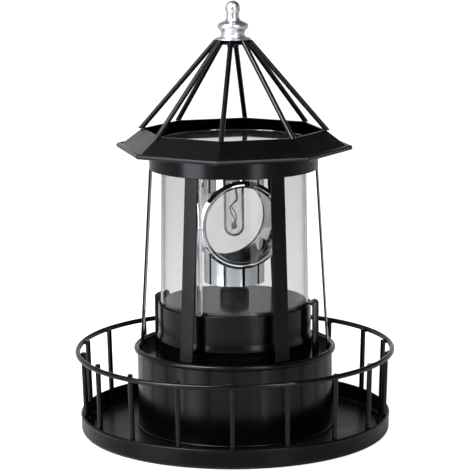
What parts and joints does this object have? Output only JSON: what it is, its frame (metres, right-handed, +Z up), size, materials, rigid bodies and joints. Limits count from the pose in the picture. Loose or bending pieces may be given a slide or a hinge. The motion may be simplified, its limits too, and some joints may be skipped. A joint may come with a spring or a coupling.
{
  "type": "garden lighthouse ornament",
  "caption": "Solar garden ornament shaped as a lighthouse top: railed gallery on a round tray, clear lantern tube with a turning lens beacon, open ribbed roof and finial.",
  "frame": {"origin": "on the ground, under the ornament's vertical axis", "axes": "+Z up the lighthouse, -Y towards the front, +X to the right as seen from the front"},
  "size_m": [0.1894, 0.1894, 0.2546],
  "materials": {
    "black_paint": "semi-gloss black baked enamel",
    "cup_plastic": "polished black moulding",
    "grey_plate": "satin grey lacquer",
    "clear_plastic": "clear polished acrylic",
    "satin_silver": "satin turned metal",
    "plated_screw": "zinc plated",
    "black_plastic": "fine matt moulding",
    "solar_cell": "dark silicon under resin",
    "panel_glass": "flat polished glass",
    "bulb_glass": "clear blown glass",
    "diode_resin": "pale phosphor resin",
    "olive_wire": "dull bent wire",
    "bright_chrome": "mirror-bright plating",
    "lens": "clear moulded lens",
    "motor_steel": "plain drawn steel",
    "cell_sleeve": "printed shrink sleeve, shown plain",
    "board_green": "solder mask",
    "lead_sleeve": "soft insulation"
  },
  "bodies": {
    "lighthouse": {"tray": "black_paint", "drum_shell": "black_paint", "drum_deck": "black_paint", "rail_ring": "black_paint", "balusters": "black_paint", "collar": "black_paint", "clip_right": "black_paint", "clip_left": "black_paint", "upper_drum": "black_paint", "motor_cup": "cup_plastic", "clear_tube": "clear_plastic", "joint_strip": "clear_plastic", "roof_deck": "black_paint", "eave_band": "black_paint", "top_cap": "black_paint", "finial": "satin_silver", "finial_screw": "plated_screw", "panel_frame": "black_plastic", "solar_panel": "solar_cell", "panel_cover": "panel_glass", "bulb_holder": "black_plastic", "bulb_base": "grey_plate", "bulb_glass": "bulb_glass", "bulb_diode": "diode_resin", "bulb_leads": "olive_wire", "gear_motor": "motor_steel", "motor_boss": "black_plastic", "motor_screws": "plated_screw", "base_pan": "black_plastic", "base_screws": "plated_screw", "battery_cell": "cell_sleeve", "battery_contacts": "plated_screw", "switch_body": "black_plastic", "circuit_board": "board_green", "board_screws": "plated_screw", "motor_leads": "lead_sleeve", "post_1": "black_paint", "post_2": "black_paint", "post_3": "black_paint", "post_4": "black_paint", "post_5": "black_paint", "post_6": "black_paint", "rib_1": "black_paint", "rib_2": "black_paint", "rib_3": "black_paint", "rib_4": "black_paint", "rib_5": "black_paint", "rib_6": "black_paint", "rib_7": "black_paint", "rib_8": "black_paint"},
    "beacon": {"beacon_housing": "bright_chrome", "front_lens": "lens", "rear_lens": "lens", "front_bezel": "bright_chrome", "rear_bezel": "bright_chrome", "motor_shaft": "plated_screw"},
    "switch_slider": {"switch_slider": "black_plastic"},
    "battery_door": {"battery_door": "black_plastic"}
  },
  "joints": [
    {"name": "beacon_spin", "type": "hinge", "parent": "lighthouse", "child": "beacon", "pos_m": [0, 0, 0.0914], "axis": [0, 0, 1], "continuous": true},
    {"name": "switch_slide", "type": "slide", "parent": "lighthouse", "child": "switch_slider", "axis": [1, 0, 0], "range_m": [0, 0.004]},
    {"name": "battery_door_hinge", "type": "hinge", "parent": "lighthouse", "child": "battery_door", "pos_m": [0, 0.0113, 0.0028], "axis": [1, 0, 0], "range_deg": [0, 90]}
  ]
}
